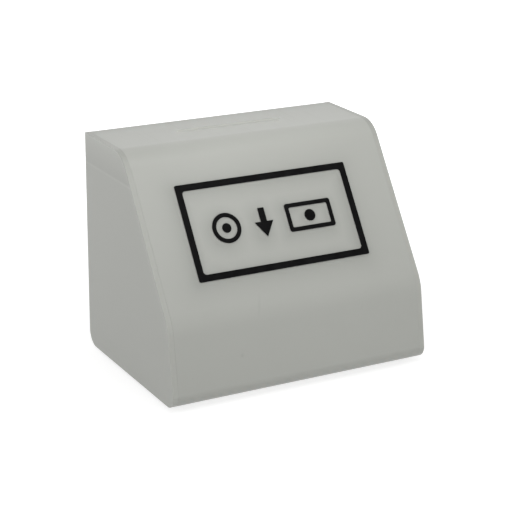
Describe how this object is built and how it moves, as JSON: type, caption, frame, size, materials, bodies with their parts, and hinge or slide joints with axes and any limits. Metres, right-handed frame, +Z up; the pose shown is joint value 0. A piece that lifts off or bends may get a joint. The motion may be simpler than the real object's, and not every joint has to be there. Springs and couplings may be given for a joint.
{
  "type": "tip box",
  "caption": "Counter tip box of bent opal sheet between flat cheeks, with a money slot in its flat top, a bordered sloping front and a hinged rear door with a cam lock.",
  "frame": {"origin": "middle of the bounding box on the floor, at the undersides of the feet", "axes": "+X to the right as seen from the front, +Y from the sloping front to the rear door, +Z up"},
  "size_m": [0.2, 0.144, 0.1613],
  "materials": {
    "opal_sheet": "opal cast sheet, soft gloss",
    "black_film": "thin matt film",
    "hinge_steel": "brushed",
    "screw_steel": "turned, bright",
    "lock_steel": "zinc plated",
    "lock_chrome": "polished",
    "foot_rubber": "matt"
  },
  "bodies": {
    "case": {"wrap_shell": "opal_sheet", "left_cheek": "opal_sheet", "right_cheek": "opal_sheet", "left_top_gusset": "opal_sheet", "right_top_gusset": "opal_sheet", "rear_catch_rail": "opal_sheet", "hinge_sill_leaf": "hinge_steel", "hinge_pin": "hinge_steel", "sill_screw_1": "screw_steel", "sill_screw_2": "screw_steel", "sill_screw_3": "screw_steel", "sill_nut_1": "screw_steel", "sill_nut_2": "screw_steel", "sill_nut_3": "screw_steel", "front_left_foot": "foot_rubber", "front_right_foot": "foot_rubber", "rear_left_foot": "foot_rubber", "rear_right_foot": "foot_rubber", "border_film": "black_film", "motif_coin_ring": "black_film", "motif_coin_core": "black_film", "motif_arrow": "black_film", "motif_note_frame": "black_film", "motif_note_core": "black_film"},
    "door": {"rear_door": "opal_sheet", "hinge_door_leaf": "hinge_steel", "door_screw_1": "screw_steel", "door_screw_2": "screw_steel", "door_screw_3": "screw_steel", "door_nut_1": "screw_steel", "door_nut_2": "screw_steel", "door_nut_3": "screw_steel", "lock_body": "lock_chrome", "lock_washer": "lock_steel", "lock_nut": "lock_steel"},
    "lock": {"lock_plug": "lock_chrome", "lock_cam": "lock_steel", "cam_washer": "lock_steel", "cam_screw": "lock_steel"}
  },
  "joints": [
    {"name": "door_swing", "type": "hinge", "parent": "case", "child": "door", "pos_m": [0, 0.06985, 0.0347], "axis": [-1, 0, 0], "range_deg": [0, 105]},
    {"name": "lock_turn", "type": "hinge", "parent": "door", "child": "lock", "pos_m": [0, 0.06735, 0.12775], "axis": [0, -1, 0], "range_deg": [0, 90]}
  ]
}
